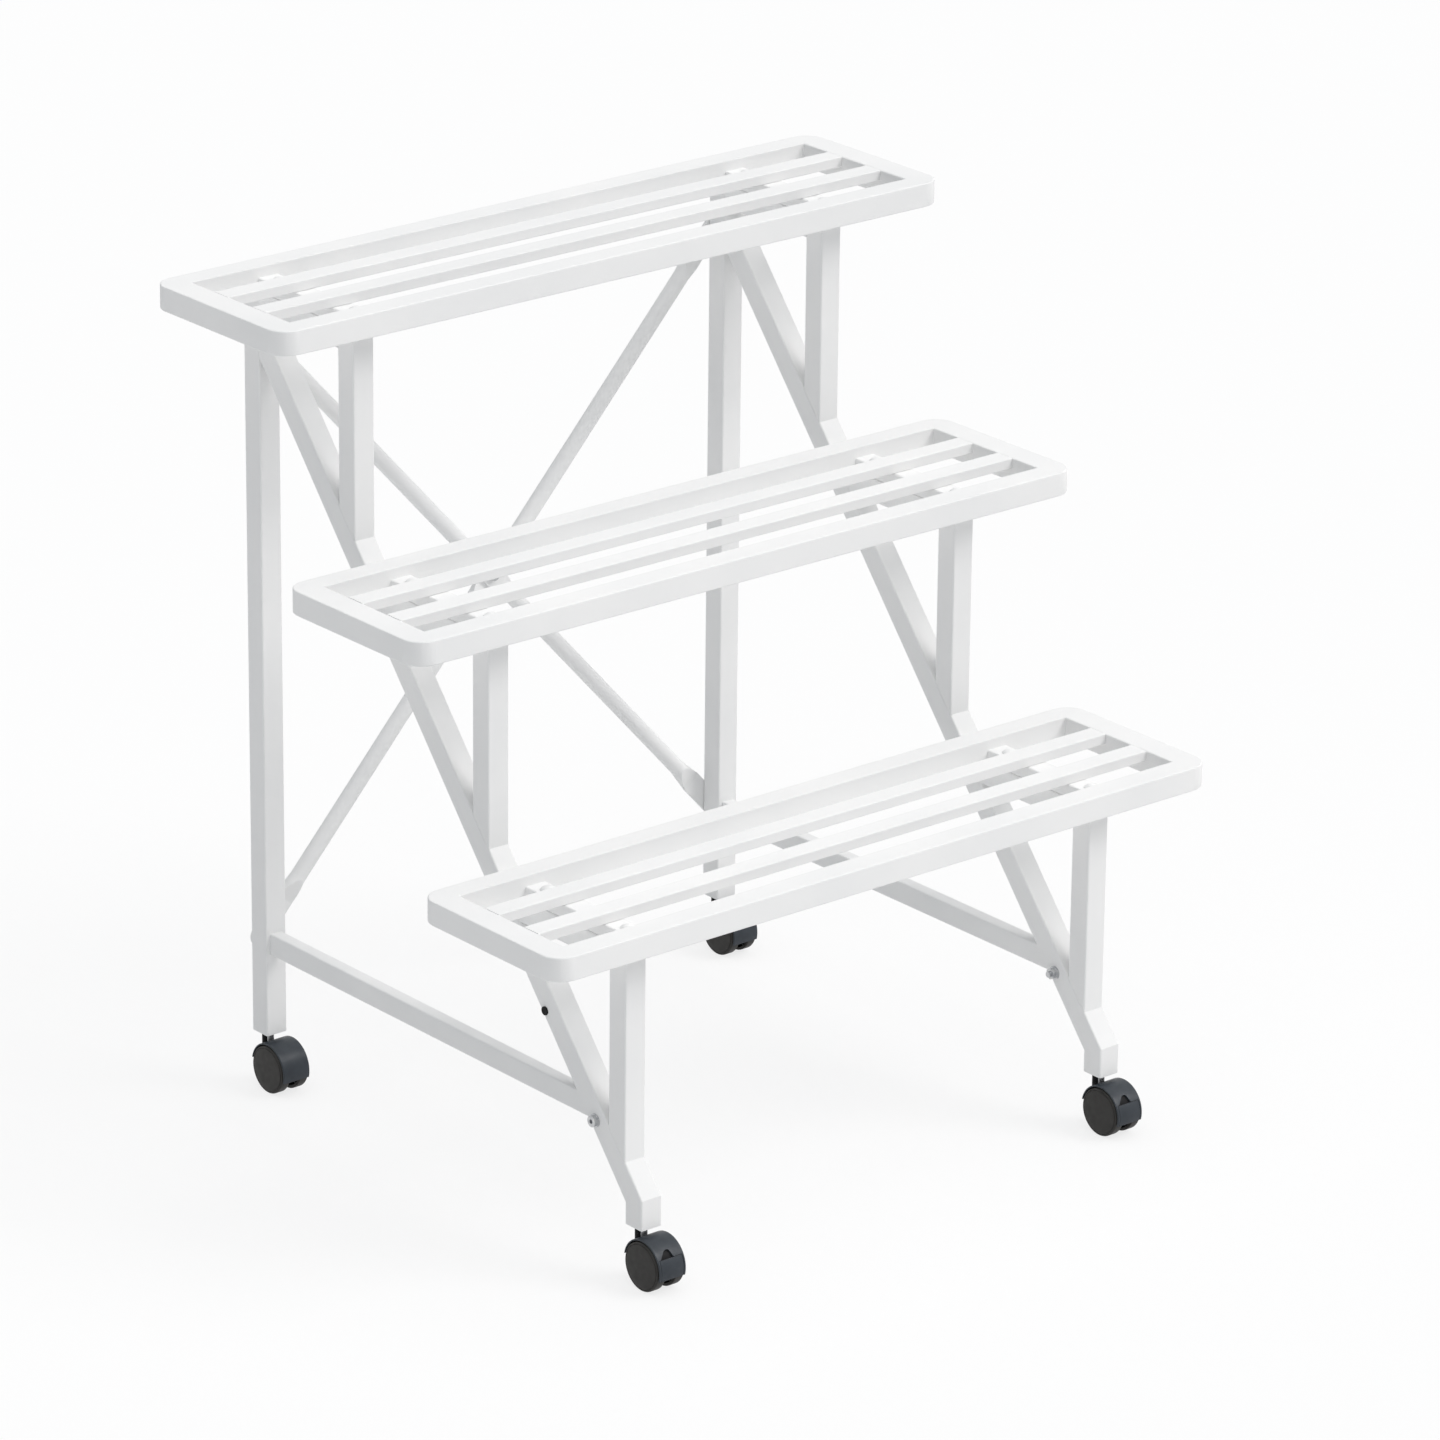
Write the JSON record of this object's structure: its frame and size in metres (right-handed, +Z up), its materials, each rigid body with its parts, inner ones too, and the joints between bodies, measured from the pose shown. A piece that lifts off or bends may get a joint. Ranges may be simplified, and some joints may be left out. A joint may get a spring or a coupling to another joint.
{
  "type": "rolling plant stand",
  "caption": "Stepped plant stand of white square tube with slatted shelves, a leaning rail on each side, crossed rear braces and swivel casters.",
  "frame": {"origin": "centre of the bounding box's base, on the floor under the wheels", "axes": "+Z up, +X along the shelves to the right seen from the front, +Y from the front to the back"},
  "size_m": [0.8, 0.6415, 0.8365],
  "materials": {
    "white_coat": "satin powder coat",
    "zinc": "zinc plated",
    "caster_grey": "fine moulded grain",
    "wheel_black": "moulded, slightly worn tread",
    "black_plastic": "moulded",
    "white_plastic": "moulded"
  },
  "bodies": {
    "root": {"top_shelf_frame": "white_coat", "middle_shelf_frame": "white_coat", "bottom_shelf_frame": "white_coat", "top_shelf_slats": "white_coat", "middle_shelf_slats": "white_coat", "bottom_shelf_slats": "white_coat", "top_shelf_straps": "white_coat", "middle_shelf_straps": "white_coat", "bottom_shelf_straps": "white_coat", "left_rail": "white_coat", "right_rail": "white_coat", "front_feet": "white_coat", "left_top_strut": "white_coat", "left_middle_strut": "white_coat", "left_bottom_strut": "white_coat", "right_top_strut": "white_coat", "right_middle_strut": "white_coat", "right_bottom_strut": "white_coat", "left_top_arm": "white_coat", "left_middle_arm": "white_coat", "left_bottom_arm": "white_coat", "right_top_arm": "white_coat", "right_middle_arm": "white_coat", "right_bottom_arm": "white_coat", "left_rear_leg": "white_coat", "right_rear_leg": "white_coat", "left_side_brace": "white_coat", "right_side_brace": "white_coat", "falling_cross_brace": "white_coat", "rising_cross_brace": "white_coat", "shelf_screws": "white_coat", "strut_inserts": "white_plastic", "arm_rivet_nuts": "zinc", "rail_bolts": "zinc", "rail_nuts": "zinc", "leg_bolts": "zinc", "leg_rivet_nuts": "zinc", "brace_end_plugs": "white_plastic", "cross_brace_bolt": "zinc", "rail_hole_plugs": "black_plastic", "caster_sockets": "black_plastic", "caster_stems": "zinc"},
    "front_left_caster": {"front_left_hood": "caster_grey", "front_left_axle": "zinc"},
    "front_left_outer_roller": {"front_left_outer_wheel": "wheel_black"},
    "front_left_inner_roller": {"front_left_inner_wheel": "wheel_black"},
    "front_left_pedal": {"front_left_brake": "caster_grey"},
    "front_right_caster": {"front_right_hood": "caster_grey", "front_right_axle": "zinc"},
    "front_right_outer_roller": {"front_right_outer_wheel": "wheel_black"},
    "front_right_inner_roller": {"front_right_inner_wheel": "wheel_black"},
    "front_right_pedal": {"front_right_brake": "caster_grey"},
    "rear_left_caster": {"rear_left_hood": "caster_grey", "rear_left_axle": "zinc"},
    "rear_left_outer_roller": {"rear_left_outer_wheel": "wheel_black"},
    "rear_left_inner_roller": {"rear_left_inner_wheel": "wheel_black"},
    "rear_right_caster": {"rear_right_hood": "caster_grey", "rear_right_axle": "zinc"},
    "rear_right_outer_roller": {"rear_right_outer_wheel": "wheel_black"},
    "rear_right_inner_roller": {"rear_right_inner_wheel": "wheel_black"}
  },
  "joints": [
    {"name": "front_left_swivel", "type": "hinge", "parent": "root", "child": "front_left_caster", "pos_m": [-0.283, -0.27696, 0.0565], "axis": [0, 0, 1], "continuous": true},
    {"name": "front_left_outer_spin", "type": "hinge", "parent": "front_left_caster", "child": "front_left_outer_roller", "pos_m": [-0.283, -0.29396, 0.024], "axis": [1, 0, 0], "continuous": true},
    {"name": "front_left_inner_spin", "type": "hinge", "parent": "front_left_caster", "child": "front_left_inner_roller", "pos_m": [-0.283, -0.29396, 0.024], "axis": [1, 0, 0], "continuous": true},
    {"name": "front_left_brake_press", "type": "hinge", "parent": "front_left_caster", "child": "front_left_pedal", "pos_m": [-0.283, -0.29396, 0.024], "axis": [1, 0, 0], "range_deg": [0, 8]},
    {"name": "front_right_swivel", "type": "hinge", "parent": "root", "child": "front_right_caster", "pos_m": [0.283, -0.27696, 0.0565], "axis": [0, 0, 1], "continuous": true},
    {"name": "front_right_outer_spin", "type": "hinge", "parent": "front_right_caster", "child": "front_right_outer_roller", "pos_m": [0.283, -0.29396, 0.024], "axis": [1, 0, 0], "continuous": true},
    {"name": "front_right_inner_spin", "type": "hinge", "parent": "front_right_caster", "child": "front_right_inner_roller", "pos_m": [0.283, -0.29396, 0.024], "axis": [1, 0, 0], "continuous": true},
    {"name": "front_right_brake_press", "type": "hinge", "parent": "front_right_caster", "child": "front_right_pedal", "pos_m": [0.283, -0.29396, 0.024], "axis": [1, 0, 0], "range_deg": [0, 8]},
    {"name": "rear_left_swivel", "type": "hinge", "parent": "root", "child": "rear_left_caster", "pos_m": [-0.283, 0.29906, 0.0565], "axis": [0, 0, 1], "continuous": true},
    {"name": "rear_left_outer_spin", "type": "hinge", "parent": "rear_left_caster", "child": "rear_left_outer_roller", "pos_m": [-0.283, 0.28206, 0.024], "axis": [1, 0, 0], "continuous": true},
    {"name": "rear_left_inner_spin", "type": "hinge", "parent": "rear_left_caster", "child": "rear_left_inner_roller", "pos_m": [-0.283, 0.28206, 0.024], "axis": [1, 0, 0], "continuous": true},
    {"name": "rear_right_swivel", "type": "hinge", "parent": "root", "child": "rear_right_caster", "pos_m": [0.283, 0.29906, 0.0565], "axis": [0, 0, 1], "continuous": true},
    {"name": "rear_right_outer_spin", "type": "hinge", "parent": "rear_right_caster", "child": "rear_right_outer_roller", "pos_m": [0.283, 0.28206, 0.024], "axis": [1, 0, 0], "continuous": true},
    {"name": "rear_right_inner_spin", "type": "hinge", "parent": "rear_right_caster", "child": "rear_right_inner_roller", "pos_m": [0.283, 0.28206, 0.024], "axis": [1, 0, 0], "continuous": true}
  ]
}
